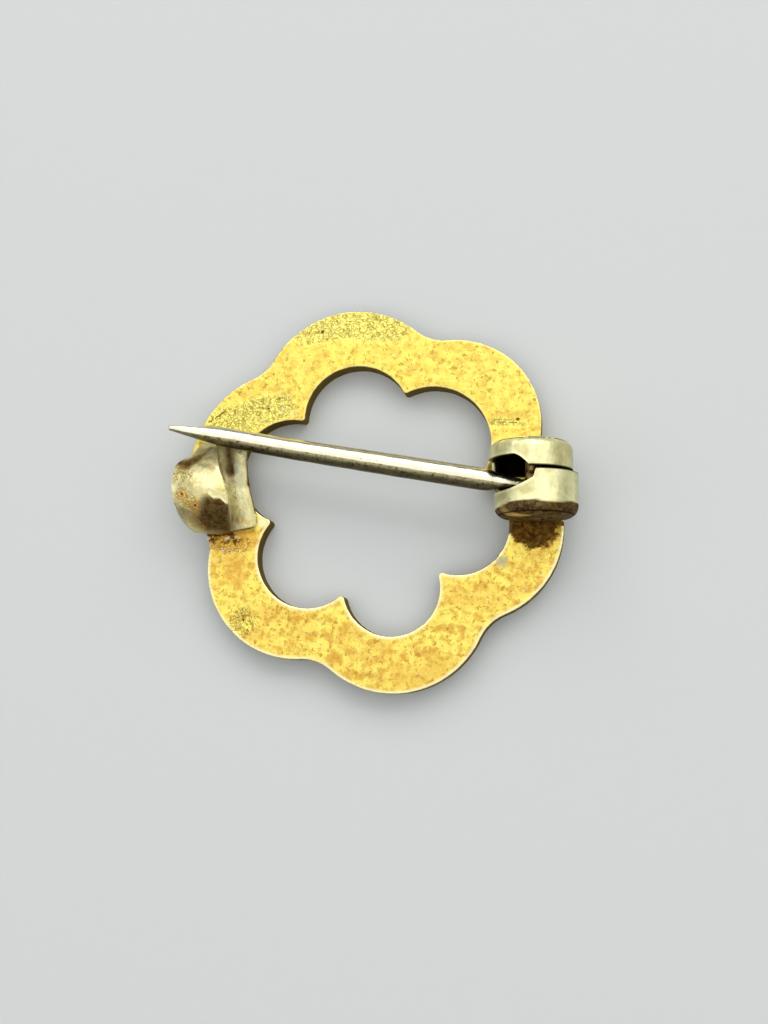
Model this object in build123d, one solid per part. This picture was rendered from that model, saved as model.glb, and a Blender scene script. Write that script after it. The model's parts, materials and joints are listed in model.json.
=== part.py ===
from build123d import *
import math
import os
from collections import namedtuple

# A small lingerie pin: an open flower ring with a joint, a catch and a pin stem on its back.
# Millimetres, +Z up. The pin lies face down: its front face is the plane z = 0, and the origin
# is the ring's centre on that face. +X points from the catch to the joint. +Y is the rivet's axis.

# Flower ring
ring_width = 16.0
band_width = 2.35
ring_thickness = 0.9
lobe_count = 6
first_lobe_angle = 42.0
outer_notch_depth = 0.89
outer_notch_radius = 1.86
inner_cusp_depth = 1.25
inner_cusp_radius = 0.16
ring_edge_radius = 0.12

# Joint shell: two drawn cups on their side, mouth to mouth
joint_inset = 1.44
joint_diameter = 3.3
joint_sheet = 0.3
joint_flat = 0.43
slit_offset = 0.68
slit_width = 0.13
far_cup_depth = 1.30
near_cup_depth = 1.83
cup_dome = 0.08
cup_corner_radius = 0.45
cup_side_step = 0.2

# Slot in the cups' rims, where the stem swings
slot_far_depth = 0.52
slot_near_depth = 0.69
slot_end_taper = 0.34
slot_corner_radius = 0.15
slot_floor_gap = 0.08

# Rivet
rivet_diameter = 0.66
rivet_gap = 0.02
rivet_recess = 0.03
rivet_edge_radius = 0.05

# Pin stem
stem_overhang = 0.74
stem_diameter = 0.8
stem_skew = 10.1
stem_dip = 1.2
stem_offset = 0.2
stem_point_length = 2.6
stem_tip_radius = 0.12
stem_shoulder_radius = 20.0
stem_swell_length = 0.8
heel_diameter = 0.77
neck_diameter = 0.5
neck_length = 0.5
neck_taper_length = 0.7
eye_diameter = 1.5
eye_thickness = 0.46
eye_clearance = 0.04

# Catch
catch_inset = 2.4
catch_side_offset = -1.29
catch_turn = 9.0
catch_sheet = 0.25
catch_width = 2.15
catch_depth = 3.3
catch_headroom = 0.63
catch_foot_overlap = 0.82
catch_back_radius = 0.32
catch_crest_radius = 0.6
catch_foot_radius = 0.3
catch_corner_radius = 0.35

# How deep the soldered pieces reach into the ring
solder_depth = 0.05

# Each lobe's own reach and radius, as shares of those that the ring's sizes give, anticlockwise.
Lobe = namedtuple("Lobe", "outer_reach outer_round inner_reach inner_round")
LOBES = (
    Lobe(1.000, 0.90, 0.996, 1.10),
    Lobe(1.000, 1.00, 0.987, 1.01),
    Lobe(1.000, 1.08, 1.025, 1.00),
    Lobe(1.000, 0.95, 1.007, 0.97),
    Lobe(1.005, 0.98, 1.012, 0.90),
    Lobe(0.990, 0.95, 1.010, 0.94),
)

# The curl's two end sections. Along is a share of the catch's width. The corners' places are shares
# of its depth (back, crest, lip) and of its height (crest, lip).
CurlSection = namedtuple("CurlSection", "along back crest crest_height lip lip_height")
CURL_SECTIONS = (
    CurlSection(0.0, -0.10, 0.26, 1.00, 1.00, 0.62),
    CurlSection(1.0, 0.08, 0.44, 0.86, 0.92, 0.58),
)

# The curl's outline from above: shares of the catch's width and depth, from its right foot corner.
# The corners further along than the rounded share lie on its free edges and are rounded.
CornerRow = namedtuple("CornerRow", "along depth")
CURL_OUTLINE = (
    CornerRow(0.10, -0.30),
    CornerRow(0.00, 0.22),
    CornerRow(0.03, 1.00),
    CornerRow(0.50, 0.91),
    CornerRow(0.90, 0.90),
    CornerRow(1.00, 0.58),
    CornerRow(0.91, 0.20),
    CornerRow(0.64, -0.04),
    CornerRow(0.50, -0.30),
)
CURL_ROUNDED_SHARE = 0.3

ring_radius = ring_width / 2
inner_reach = ring_radius - band_width
lobe_pitch = 360 / lobe_count
back_face = ring_thickness
joint_radius = joint_diameter / 2
stem_radius = stem_diameter / 2
rivet_radius = rivet_diameter / 2

# The rivet's axis lies joint_inset in from the lobes' reach, and its height leaves the cups a flat
# seat on the ring. The stem runs from that axis to stem_overhang past the ring's far side, and the
# catch's crest stands catch_headroom above the axis.
joint_reach = ring_radius - joint_inset
pivot_height = back_face + joint_radius - joint_flat
catch_reach = ring_radius - catch_inset
stem_length = joint_reach + ring_radius + stem_overhang
catch_height = pivot_height + catch_headroom - back_face


def hollow_centre(centre, radius, next_centre, next_radius, hollow_radius):
    """The centre of the arc that touches two neighbouring lobes from outside."""
    link = next_centre - centre
    near = radius + hollow_radius
    far = next_radius + hollow_radius
    along = (near**2 - far**2 + link.length**2) / (2 * link.length)
    outward = math.sqrt(near**2 - along**2)
    direction = link.normalized()
    return centre + direction * along + direction.rotate(Axis.Z, -90) * outward


def even_lobe_radius(reach, hollow_depth, hollow_radius):
    """The lobe radius with which hollows of that radius lie hollow_depth in from the lobes' reach."""
    hollow_distance = reach - hollow_depth + hollow_radius
    inward = hollow_distance * math.cos(math.radians(lobe_pitch / 2))
    squares = reach**2 + hollow_distance**2 - hollow_radius**2
    return (squares - 2 * reach * inward) / (2 * (reach - inward + hollow_radius))


def flower_outline(reach, hollow_depth, hollow_radius, shares):
    """Round lobes about the centre, each pair joined by a hollow arc that touches both."""
    count = len(shares)
    lobe_radius = even_lobe_radius(reach, hollow_depth, hollow_radius)
    radii = [lobe_radius * round_share for _, round_share in shares]
    turns = [first_lobe_angle + number * lobe_pitch for number in range(count)]
    outward = [Vector(1, 0).rotate(Axis.Z, turn) for turn in turns]
    centres = [outward[i] * (reach * shares[i][0] - radii[i]) for i in range(count)]
    hollows = []
    for i in range(count):
        after = (i + 1) % count
        hollows.append(hollow_centre(centres[i], radii[i], centres[after], radii[after], hollow_radius))
    arcs = []
    for i in range(count):
        after = (i + 1) % count
        start = centres[i] + (hollows[i - 1] - centres[i]).normalized() * radii[i]
        end = centres[i] + (hollows[i] - centres[i]).normalized() * radii[i]
        next_start = centres[after] + (hollows[i] - centres[after]).normalized() * radii[after]
        dip = ((end + next_start) / 2 - hollows[i]).normalized() * hollow_radius
        arcs.append(ThreePointArc(start, centres[i] + outward[i] * radii[i], end))
        arcs.append(ThreePointArc(end, hollows[i] + dip, next_start))
    return make_face(arcs)


def flower_ring():
    """The flat band, with its front and back edges rounded."""
    rows = [LOBES[number % len(LOBES)] for number in range(lobe_count)]
    outer_shares = [(row.outer_reach, row.outer_round) for row in rows]
    inner_shares = [(row.inner_reach, row.inner_round) for row in rows]
    outer = flower_outline(ring_radius, outer_notch_depth, outer_notch_radius, outer_shares)
    inner = flower_outline(inner_reach, inner_cusp_depth, inner_cusp_radius, inner_shares)
    ring = extrude(outer - inner, ring_thickness)
    front = ring.faces().sort_by(Axis.Z)[0]
    back = ring.faces().sort_by(Axis.Z)[-1]
    return fillet(front.edges() + back.edges(), ring_edge_radius)


def cup_blank(radius, depth, corner_radius):
    """A solid cup shape along +Y from the origin, with a rounded shoulder and a barely domed end."""
    rim = depth - cup_dome
    dome_radius = (radius**2 + cup_dome**2) / (2 * cup_dome)
    side = Polyline((0, 0), (radius, 0), (radius, rim))
    end = RadiusArc((radius, rim), (0, depth), -dome_radius)
    axis = Line((0, depth), (0, 0))
    profile = make_face(side + end + axis)
    corner = profile.vertices().sort_by_distance((radius, rim))[0]
    profile = fillet(corner, corner_radius)
    return revolve(profile, Axis.Y)


def cup_pair(wall, gap):
    """Both cups as solids mouth to mouth, pulled in by wall all round and with gap between them."""
    radius = joint_radius - wall
    corner_radius = cup_corner_radius - wall / 2
    far = cup_blank(radius, far_cup_depth - wall - gap / 2, corner_radius)
    near = cup_blank(radius, near_cup_depth - wall - gap / 2, corner_radius)
    far = Pos(-cup_side_step / 2, gap / 2, 0) * far
    near = Pos(cup_side_step / 2, -gap / 2, 0) * Rot(Z=180) * near
    return Pos(joint_reach, slit_offset, pivot_height) * (far + near)


def slab(low, high):
    """Everything of the pin between two heights."""
    reach = 2 * ring_width
    return Pos(0, 0, (low + high) / 2) * Box(reach, reach, high - low)


def stem_slot():
    """The space cut into both rims from the inner side up to the crest."""
    outside = -joint_diameter
    corners = [
        (outside, slot_far_depth),
        (-slot_end_taper, slot_far_depth),
        (0, 0),
        (-slot_end_taper, -slot_near_depth),
        (outside, -slot_near_depth),
    ]
    plan = make_face(Polyline(*corners, close=True))
    inner = plan.vertices().filter_by(lambda v: -joint_radius < v.X < 0)
    plan = fillet(inner, slot_corner_radius)
    low = pivot_height - stem_radius - slot_floor_gap
    return Pos(joint_reach, slit_offset, low) * extrude(plan, joint_diameter)


def rivet_bore():
    """The rivet's holes through both cups' ends."""
    radius = rivet_radius + rivet_gap
    length = 4 * joint_diameter
    return Pos(joint_reach, slit_offset, pivot_height) * Rot(X=90) * Cylinder(radius, length)


def joint_shell():
    """The two cups, cut flat and closed where they sit on the ring."""
    low = back_face - solder_depth
    high = pivot_height + joint_diameter
    walls = cup_pair(0, slit_width) - cup_pair(joint_sheet, slit_width)
    walls = walls & slab(low, high)
    walls = walls - stem_slot() - rivet_bore()
    floor = cup_pair(0, 0) & slab(low, back_face + joint_sheet)
    return walls + floor


def offset_corners(points, distance):
    """A polyline's corners moved to its left by distance."""
    moved = []
    normals = [(end - start).normalized().rotate(Axis.Z, 90) for start, end in zip(points, points[1:])]
    for number, point in enumerate(points):
        before = normals[max(number - 1, 0)]
        after = normals[min(number, len(normals) - 1)]
        moved.append(point + (before + after) * (distance / (1 + before.dot(after))))
    return moved


def curl_section(row):
    """The curled strip's cross section: depth across, height up."""
    middle = back_face + catch_sheet / 2
    top = catch_height - catch_sheet
    corners = [
        Vector(catch_depth / 2, middle),
        Vector(catch_depth * row.back, middle),
        Vector(catch_depth * row.crest, middle + top * row.crest_height),
        Vector(catch_depth * row.lip, middle + top * row.lip_height),
    ]
    half = catch_sheet / 2
    outside = offset_corners(corners, half)
    inside = offset_corners(corners, -half)
    radii = (catch_back_radius, catch_crest_radius)
    outer = FilletPolyline(*outside, radius=[radius + half for radius in radii])
    inner = FilletPolyline(*inside, radius=[radius - half for radius in radii])
    ends = Line(outside[0], inside[0]) + Line(outside[-1], inside[-1])
    face = make_face(outer.edges() + inner.edges() + ends.edges())
    place = Plane(origin=(-catch_width * row.along, 0, 0), x_dir=(0, 1, 0), z_dir=(1, 0, 0))
    return place * face


def catch():
    """The flat foot and the strip that curls over it, in place on the ring."""
    curl = loft([curl_section(row) for row in CURL_SECTIONS], ruled=True)
    points = [(-catch_width * row.along, catch_depth * row.depth) for row in CURL_OUTLINE]
    outline = make_face(Polyline(*points, close=True))
    rounded = outline.vertices().filter_by(lambda v: v.X < -catch_width * CURL_ROUNDED_SHARE)
    outline = fillet(rounded, catch_corner_radius)
    curl = curl & extrude(outline, 3 * catch_height)
    foot_width = catch_foot_overlap + catch_width / 2
    foot = Rectangle(foot_width, catch_depth, align=(Align.MAX, Align.MIN))
    foot = fillet(foot.vertices(), catch_foot_radius)
    foot = Pos(catch_foot_overlap, 0, 0) * extrude(foot, catch_sheet + solder_depth)
    foot = Pos(0, 0, back_face - solder_depth) * foot
    return Pos(-catch_reach, catch_side_offset, 0) * Rot(Z=catch_turn) * (curl + foot)


def soldered_frame():
    """Ring, joint shell and catch, soldered into one."""
    return flower_ring() + joint_shell() + catch()


def rivet():
    """The plain cross pin through both cups' ends."""
    length = far_cup_depth + near_cup_depth - 2 * rivet_recess
    middle = slit_offset + (far_cup_depth - near_cup_depth) / 2
    pin = Cylinder(rivet_radius, length)
    pin = fillet(pin.edges().filter_by(GeomType.CIRCLE), rivet_edge_radius)
    return Pos(joint_reach, middle, pivot_height) * Rot(X=90) * pin


def pin_stem():
    """The pointed stem, its neck and its flat eye round the rivet."""
    heel = neck_length + neck_taper_length
    full = heel + stem_swell_length
    shoulder = stem_length - stem_point_length
    outline = FilletPolyline(
        (neck_length, neck_diameter / 2),
        (heel, heel_diameter / 2),
        (full, stem_radius),
        (shoulder, stem_radius),
        (stem_length - stem_tip_radius, stem_tip_radius),
        radius=[stem_radius, stem_radius, stem_shoulder_radius],
    )
    tip = RadiusArc((stem_length - stem_tip_radius, stem_tip_radius), (stem_length, 0), stem_tip_radius)
    base = Polyline((stem_length, 0), (neck_length, 0), (neck_length, neck_diameter / 2))
    shank = revolve(make_face(outline.edges() + tip.edges() + base.edges()), Axis.X)
    shank = Rot(Z=180 - stem_skew) * Rot(Y=stem_dip) * shank
    eye = Rot(X=90) * Cylinder(eye_diameter / 2, eye_thickness)
    bore = Rot(X=90) * Cylinder(rivet_radius + eye_clearance, eye_thickness * 2)
    return Pos(joint_reach, stem_offset, pivot_height) * (shank + eye - bore)


PARTS = {
    "soldered_frame": soldered_frame,
    "rivet": rivet,
    "pin_stem": pin_stem,
}

os.makedirs("parts", exist_ok=True)
for name, make in PARTS.items():
    solid = make()
    solid.label = name
    export_step(solid, f"parts/{name}.step")
    print(name, round(solid.volume, 3), solid.bounding_box())
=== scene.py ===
import json
import math
from collections import namedtuple

import bmesh
import bpy
import numpy as np
from bpy.props import FloatProperty, FloatVectorProperty, PointerProperty
from mathutils import Color, Matrix, Vector
from mathutils.kdtree import KDTree


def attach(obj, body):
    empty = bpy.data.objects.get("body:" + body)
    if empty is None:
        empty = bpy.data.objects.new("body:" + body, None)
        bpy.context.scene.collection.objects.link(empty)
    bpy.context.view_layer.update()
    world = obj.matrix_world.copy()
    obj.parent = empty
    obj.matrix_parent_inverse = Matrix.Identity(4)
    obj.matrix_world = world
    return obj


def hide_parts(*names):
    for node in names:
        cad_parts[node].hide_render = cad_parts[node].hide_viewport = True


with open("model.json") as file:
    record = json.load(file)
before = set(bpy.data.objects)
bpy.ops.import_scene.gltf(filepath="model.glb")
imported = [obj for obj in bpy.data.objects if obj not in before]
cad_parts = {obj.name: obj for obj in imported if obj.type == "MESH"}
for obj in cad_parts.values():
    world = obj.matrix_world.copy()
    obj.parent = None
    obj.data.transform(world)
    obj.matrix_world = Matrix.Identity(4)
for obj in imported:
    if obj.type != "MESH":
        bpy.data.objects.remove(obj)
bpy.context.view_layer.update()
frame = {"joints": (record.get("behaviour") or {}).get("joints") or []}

bl_info = {
    "name": "Lingerie pin",
    "version": (1, 0, 0),
    "blender": (4, 5, 0),
    "location": "3D View > Sidebar > Pin",
    "description": "A small gilt flower ring pin with a drum joint, a curled catch and a pointed stem",
    "category": "Add Mesh",
}

# Metres. The pin lies face down: its front face is z = 0 and the origin is the ring's centre on it.
MM = 0.001
MICRON = 0.000001
HINGE = Vector(frame["joints"][0]["pos_m"])
BACK_FACE = 0.9 * MM

# Each lobe's own reach and radius, as shares of what the ring's sizes give, anticlockwise.
OUTER_LOBES = ((1.0, 0.9), (1.0, 1.0), (1.0, 1.08), (1.0, 0.95), (1.005, 0.98), (0.99, 0.95))
INNER_LOBES = ((0.996, 1.1), (0.987, 1.01), (1.025, 1.0), (1.007, 0.97), (1.012, 0.9), (1.01, 0.94))
LOBE_PITCH = 360 / len(OUTER_LOBES)

# The curl's four rails, from the base at the back edge over the crest to the lip: the right one, next
# to the joint, the middle one, the inner one and the left one. Millimetres in the catch's own frame:
# across towards the joint, deep along +Y, high above the ring's front face.
CURL_RAILS = (
    (
        (-0.3, 0.45, 1.03), (-0.45, 0.02, 1.03), (-0.2, 0.0, 1.4), (0.02, 0.16, 1.95), (0.17, 0.46, 2.44),
        (0.23, 0.9, 2.72), (0.14, 1.45, 2.68), (-0.02, 2.08, 2.48), (-0.18, 2.68, 2.12), (-0.38, 3.74, 1.2),
    ),
    (
        (-0.75, 0.45, 1.03), (-0.95, 0.02, 1.05), (-0.95, 0.02, 1.45), (-0.86, 0.3, 1.97), (-0.78, 0.7, 2.46),
        (-0.74, 1.14, 2.7), (-0.74, 1.68, 2.64), (-0.78, 2.24, 2.42), (-0.84, 2.76, 2.06),
        (-0.98, 3.76, 1.18),
    ),
    (
        (-1.0, 0.48, 1.04), (-1.28, 0.08, 1.08), (-1.42, 0.14, 1.48), (-1.45, 0.45, 1.95),
        (-1.44, 0.88, 2.32), (-1.4, 1.3, 2.52), (-1.36, 1.78, 2.52), (-1.34, 2.25, 2.36), (-1.34, 2.68, 2.12),
        (-1.34, 3.16, 1.72),
    ),
    (
        (-1.2, 0.5, 1.04), (-1.5, 0.16, 1.12), (-1.82, 0.28, 1.5), (-2.02, 0.68, 1.86), (-2.13, 1.1, 2.12),
        (-2.18, 1.55, 2.24), (-2.18, 2.0, 2.22), (-2.12, 2.4, 2.12), (-2.04, 2.72, 2.02), (-1.94, 2.98, 1.92),
    ),
)

# The foot's two side edges from its near to its far end, in millimetres from above.
FOOT_EDGES = (
    ((-4.84, -1.2), (-4.8, -0.78), (-5.0, -0.15), (-5.18, 0.5), (-5.27, 1.15), (-5.32, 1.75), (-5.36, 2.45)),
    ((-6.62, -1.52), (-6.8, -1.1), (-6.88, -0.4), (-6.9, 0.4), (-6.88, 1.1), (-6.84, 1.75), (-6.74, 2.55)),
)

# Marks charted on the pin's back, in millimetres. A mark is a round spot or a line: its place or
# its two places, its width and its strength. Its edge is soft by half its radius, or by all of it for
# the painted shade, and the finish then breaks it up.
RING_MARKS = {
    "brown": (
        (6.52, -1.16, 2.05, 1.0), (-2.25, 7.08, 0.22, 0.7), (-3.27, 6.64, -2.25, 6.69, 0.05, 0.6),
        (-2.25, 6.69, -1.31, 6.79, 0.06, 0.7), (-1.31, 6.79, 0.42, 6.78, 0.05, 0.5), (3.09, 6.05, 0.14, 0.5),
        (4.45, 4.92, 0.14, 0.7), (5.18, 5.06, 0.12, 0.7), (4.2, 4.59, 0.1, 0.6), (5.63, 5.43, 0.1, 0.6),
        (5.99, 4.21, 0.1, 0.6), (4.98, 3.03, 6.27, 2.96, 0.05, 0.8), (5.9, 3.13, 0.16, 0.8),
        (-4.91, 4.96, -4.27, 5.29, 0.07, 0.7), (-5.0, 3.9, -4.4, 3.8, 0.1, 0.6),
        (-4.1, 4.2, -3.6, 4.28, 0.09, 0.6), (-3.13, 3.89, 0.16, 0.6), (-7.03, 3.3, -6.39, 3.71, 0.1, 0.8),
        (-6.53, -4.02, -5.75, -4.6, 0.05, 0.7), (-5.32, -5.01, 0.16, 0.7),
        (-2.57, -4.67, -3.01, -5.24, 0.05, 0.5), (-1.5, -6.48, 0.3, 0.36),
        (-1.21, -6.76, -0.55, -7.31, 0.05, 0.6), (-0.6, -6.51, 0.14, 0.6), (1.34, -6.42, 0.18, 0.5),
        (2.1, -6.3, 0.16, 0.5), (2.87, -6.53, 0.14, 0.5), (4.45, -3.79, 0.14, 0.5),
        (6.79, -2.2, 6.85, -2.5, 0.04, 0.5), (6.24, -2.75, 6.95, -2.76, 0.04, 0.6),
        (5.2, 2.0, 7.6, 1.98, 0.16, 0.9), (5.3, -1.14, 7.7, -1.14, 0.2, 1.0),
        (-7.15, -1.52, -5.9, -1.44, 0.22, 0.62), (-7.05, -1.72, -5.6, -1.7, 0.5, 0.5),
        (-6.92, -1.72, 0.2, 0.7), (-5.75, -1.82, 0.46, 0.56), (5.02, -2.36, 0.3, 0.7),
    ),
    "orange": (
        (6.52, -1.2, 2.4, 0.6), (-6.9, -1.8, -5.2, -1.75, 0.9, 1.0), (-5.2, -1.4, -4.85, -1.75, 0.45, 0.7),
        (-5.8, -3.08, 1.3, 0.8), (-6.3, -2.6, 1.1, 0.6), (-3.06, -4.8, 0.55, 0.6), (-1.5, -6.48, 0.62, 0.9),
        (-1.2, -6.78, -0.7, -7.1, 0.22, 0.7), (-0.6, -6.51, 0.4, 0.6), (1.34, -6.42, 0.42, 0.9),
        (2.1, -6.3, 0.34, 0.8), (2.87, -6.53, 0.3, 0.8), (0.8, -6.6, 3.2, -6.6, 1.0, 0.4),
        (5.09, -2.59, 6.12, -3.19, 0.4, 0.5), (7.2, -1.7, 0.8, 0.7), (-4.0, 4.3, 1.0, 0.3),
        (5.3, 2.7, 7.2, 2.75, 0.3, 0.6),
    ),
    "pale": (
        (5.25, -2.67, 0.62, 0.7), (-3.86, 3.72, 0.36, 0.62), (-3.4, 3.6, 0.42, 0.62), (2.14, 5.74, 0.6, 0.42),
        (-2.0, 7.2, 1.2, 0.4), (-6.21, -2.25, -5.66, -2.04, 0.08, 0.8),
    ),
    "cracked": (
        (-2.99, 7.24, 0.83, 7.24, 1.3, 1.0), (-5.35, -5.05, 1.3, 0.9), (-6.4, 3.3, -4.0, 3.9, 1.3, 0.9),
        (4.98, 3.03, 6.27, 2.96, 0.5, 0.6), (6.6, -2.5, 0.9, 0.35), (4.9, 4.9, 1.2, 0.4),
        (-7.3, -1.75, -5.4, -1.9, 0.7, 0.8),
    ),
    # Painted highlights on a lit cusp and on a lit strip of the outer edge.
    "rim": ((-4.62, -0.95, 0.42, 1.0), (-7.28, 1.62, -7.08, 2.25, 0.24, 0.8)),
    # Painted shadows beside and below the joint and below the catch, and one soft painted dark spot.
    "deep": (
        (4.6, 0.6, 4.75, 1.2, 0.5, 0.75), (-7.0, -1.5, -5.95, -1.52, 0.3, 0.62),
        (-5.85, -1.5, -5.0, -1.34, 0.22, 0.5), (6.0, -1.0, 7.1, -1.0, 0.5, 0.55), (5.22, -2.62, 0.42, 0.5),
    ),
}
CURL_MARKS = {
    # Painted shade: the hollow below the crease, and the band along the lip where the stem's shadow falls;
    # two faint spots.
    "deep": (
        (-7.05, -1.0, 0.7, 0.42), (-6.72, -0.8, 0.8, 0.55), (-6.42, -0.3, -5.8, -0.36, 0.46, 0.62),
        (-6.3, -0.6, 0.7, 0.55), (-6.05, -0.85, 0.75, 0.95), (-5.8, -0.62, 0.5, 0.9),
        (-6.6, -1.15, -5.95, -1.2, 0.52, 0.95), (-7.95, 1.36, -7.52, 1.28, 0.34, 0.75),
        (-7.52, 1.28, -7.2, 1.5, 0.36, 0.75), (-7.2, 1.5, -6.66, 1.94, 0.34, 0.75), (-7.8, 0.92, 0.8, 0.4),
        (-6.18, 0.3, 0.3, 0.3),
    ),
    "brown": (
        (-6.98, -0.5, 0.12, 1.0), (-7.62, 0.04, -7.5, -0.06, 0.08, 0.9),
        (-5.93, -0.32, -5.74, -0.47, 0.08, 1.0),
    ),
    "orange": (
        (-7.62, -0.02, -7.02, -0.48, 0.52, 1.0), (-7.3, -0.4, -6.95, -0.7, 0.5, 0.6),
        (-7.4, 0.62, -7.1, 0.2, 0.6, 0.4), (-7.6, -0.7, -6.9, -1.3, 0.5, 0.55), (-7.7, 1.0, 0.6, 0.5),
    ),
    "pale": (
        (-8.15, 0.05, -7.99, -0.61, 0.22, 0.8), (-7.99, -0.61, -7.53, -0.96, 0.14, 0.6),
        (-6.72, 1.6, -6.52, 1.95, 0.4, 0.6),
    ),
    "cracked": ((-7.72, 0.9, 0.9, 0.8), (-7.6, 0.0, -7.0, -0.5, 0.6, 0.7)),
    # Painted highlights: a glint on the left, the lit crease and the lit right edge.
    "rim": (
        (-6.36, -0.01, -6.15, -0.19, 0.09, 1.0), (-6.15, -0.19, -5.9, -0.17, 0.09, 1.0),
        (-5.9, -0.17, -5.66, -0.4, 0.07, 1.0), (-8.04, 0.3, 0.34, 1.0), (-6.2, 1.11, -5.86, 0.62, 0.09, 0.8),
        (-5.86, 0.62, -5.62, 0.05, 0.09, 0.8), (-5.62, 0.05, -5.5, -0.34, 0.08, 0.8),
        (-5.5, -0.34, -5.48, -0.9, 0.07, 0.8),
    ),
}
# The line of the crease on the curl, in millimetres; the painted shade of the hollow lies only below it.
CREASE_ACROSS = (-7.20, -6.36, -6.15, -5.90, -5.65)
CREASE_DEEP = (0.35, -0.03, -0.20, -0.20, -0.42)
FOOT_MARKS = {
    # Painted shade: the stem's and the curl's shadow at the top, and dark lines along the edges.
    "deep": (
        (-6.1, 2.2, -5.98, 1.4, 0.52, 0.78), (-5.94, 1.12, 0.38, 0.85), (-5.86, 0.7, 0.3, 0.45),
        (-5.3, 1.7, -5.22, 0.6, 0.12, 0.8), (-5.2, 0.6, -4.88, -0.6, 0.09, 0.8),
        (-5.95, -1.42, -4.95, -1.22, 0.11, 0.85),
    ),
    "brown": ((-6.02, 1.12, 0.16, 0.7),),
    "orange": ((-5.62, -0.86, -5.15, -1.02, 0.3, 0.7), (-5.6, 0.3, -5.56, -0.2, 0.2, 0.4)),
    "pale": ((-5.7, 1.4, -5.56, 0.6, 0.34, 0.9), (-5.62, 0.45, -5.5, 0.0, 0.26, 0.6)),
    # Painted highlights on lit parts of the foot.
    "rim": ((-5.55, 2.05, -5.52, 1.7, 0.24, 0.8), (-5.52, 0.2, -5.28, -0.85, 0.5, 0.75)),
}
# "rim" holds painted highlights, in part edges rubbed bright, and "deep" painted shade and shadows; "pale"
# also carries painted shade on the cups' flanks.
CHANNELS = ("brown", "orange", "pale", "cracked", "rim", "deep")

# Low forms of the ring's back: place in millimetres, reach across, and how far it rises or sinks.
RING_SWELLS = (
    (5.25, -2.67, 0.55, 0.05), (-2.25, 7.08, 0.45, -0.03), (-5.32, -5.01, 0.5, -0.025),
    (-5.8, -3.1, 1.2, -0.03), (-1.45, -6.5, 0.6, -0.03), (5.9, 3.13, 0.35, -0.03), (3.09, 6.05, 0.35, -0.02),
    (6.5, -1.75, 0.8, -0.035), (-4.4, 4.1, 0.7, 0.025),
)


def length_of(name, description, metres):
    """A length, its default given in metres."""
    return FloatProperty(name=name, description=description, default=metres, unit="LENGTH")


def angle_of(name, description, degrees):
    """An angle, its default given in degrees."""
    return FloatProperty(name=name, description=description, default=math.radians(degrees), subtype="ANGLE")


def colour_of(name, description, colour):
    """A colour."""
    return FloatVectorProperty(name=name, description=description, default=colour, subtype="COLOR")


class PinRingSizes(bpy.types.PropertyGroup):
    width: length_of("Width", "Ring across its lobes", 16 * MM)
    band: length_of("Band", "Flat band's width", 2.35 * MM)
    thickness: length_of("Thickness", "Ring's sheet thickness", BACK_FACE)
    first_lobe: angle_of("First lobe", "Where the first lobe points", 42)
    notch_depth: length_of("Notch depth", "Outer hollows' depth", 0.89 * MM)
    notch_radius: length_of("Notch radius", "Outer hollows' radius", 1.86 * MM)
    cusp_depth: length_of("Cusp depth", "Inner cusps' depth", 1.25 * MM)
    cusp_radius: length_of("Cusp radius", "Inner cusps' radius", 0.16 * MM)
    edge: length_of("Edge", "Rounding of the edges", 0.12 * MM)
    relief: length_of("Relief", "Unevenness of the worn face", 0.022 * MM)


class PinJointSizes(bpy.types.PropertyGroup):
    diameter: length_of("Diameter", "Cups across", 3.3 * MM)
    sheet: length_of("Sheet", "Cups' wall", 0.3 * MM)
    far_depth: length_of("Far depth", "Far cup's depth", 1.30 * MM)
    near_depth: length_of("Near depth", "Near cup's depth", 1.83 * MM)
    dome: length_of("Dome", "Height of the domed ends", 0.08 * MM)
    corner: length_of("Shoulder", "Rounding round each end", 0.45 * MM)
    side_step: length_of("Side step", "How far the cups are out of line", 0.2 * MM)
    slit_offset: length_of("Slit place", "The slit between the cups, along the rivet", 0.68 * MM)
    slit_width: length_of("Slit", "Width of the slit", 0.13 * MM)
    slot_far: length_of("Slot, far", "Slot's depth in the far rim", 0.52 * MM)
    slot_near: length_of("Slot, near", "Slot's depth in the near rim", 0.84 * MM)
    slot_taper: length_of("Slot taper", "Length of the arch at the slot's end", 0.62 * MM)
    slot_slope: length_of("Slot slope", "Length of the near rim's slope", 1.20 * MM)
    slot_floor: length_of("Slot floor", "The slot's lower end, below the rivet", 0.60 * MM)
    rim: length_of("Rim", "Rounding of the rims", 0.07 * MM)
    bore: length_of("Bore", "Hole for the rivet", 0.7 * MM)


class PinRivetSizes(bpy.types.PropertyGroup):
    diameter: length_of("Diameter", "Rivet across", 0.66 * MM)
    recess: length_of("Recess", "How far its ends lie inside the cups", 0.03 * MM)
    edge: length_of("Edge", "Rounding of its ends", 0.05 * MM)


class PinCatchSizes(bpy.types.PropertyGroup):
    reach: length_of("Reach", "Distance from the centre", 5.6 * MM)
    side: length_of("Side", "Its place along +Y", -1.29 * MM)
    turn: angle_of("Turn", "Its turn on the ring", 9)
    sheet: length_of("Sheet", "Catch's sheet", 0.25 * MM)
    slope: length_of("Slope", "How much lower the foot's outer edge lies", 0.13 * MM)


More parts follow.
